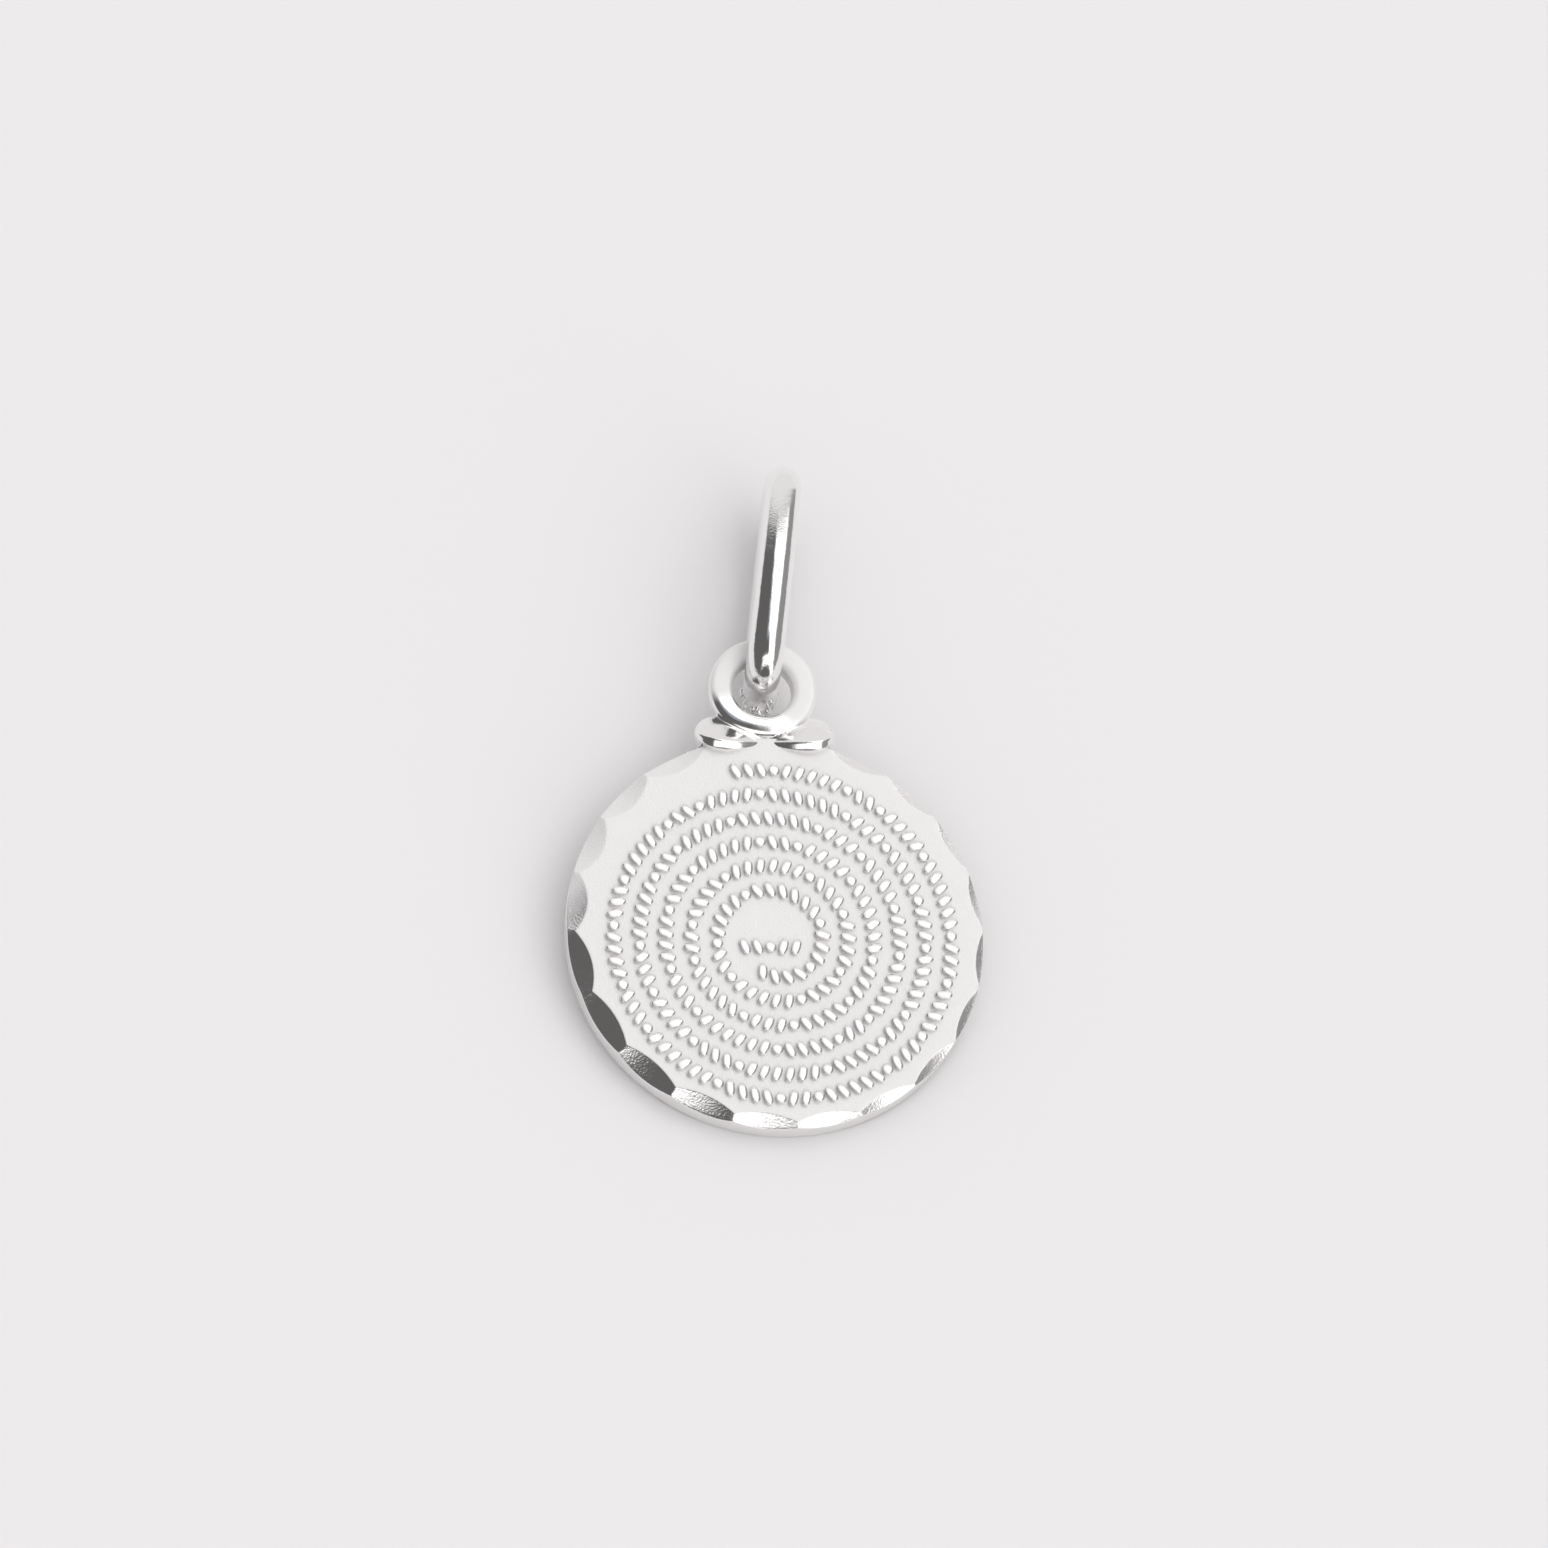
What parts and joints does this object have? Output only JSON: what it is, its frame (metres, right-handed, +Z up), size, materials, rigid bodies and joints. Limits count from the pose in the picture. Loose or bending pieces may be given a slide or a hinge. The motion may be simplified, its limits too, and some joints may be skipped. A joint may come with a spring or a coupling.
{
  "type": "disc pendant",
  "caption": "Round silver disc pendant with scooped bright cuts round the rim, a raised spiral of grains and beads, a leaf-lobed collar with an eye, and an oval wire bail, lying on a surface.",
  "frame": {"origin": "middle of the whole pendant seen from above, on the surface that it lies on", "axes": "+Y runs along the pendant from the disc's lower rim to the bail, +Z is up away from the surface, and the disc's decorated face looks up"},
  "size_m": [0.015, 0.026, 0.0044],
  "materials": {
    "medal_silver": "polished",
    "bail_silver": "polished"
  },
  "bodies": {
    "root": {"medal": "medal_silver", "bail": "bail_silver"}
  },
  "joints": []
}
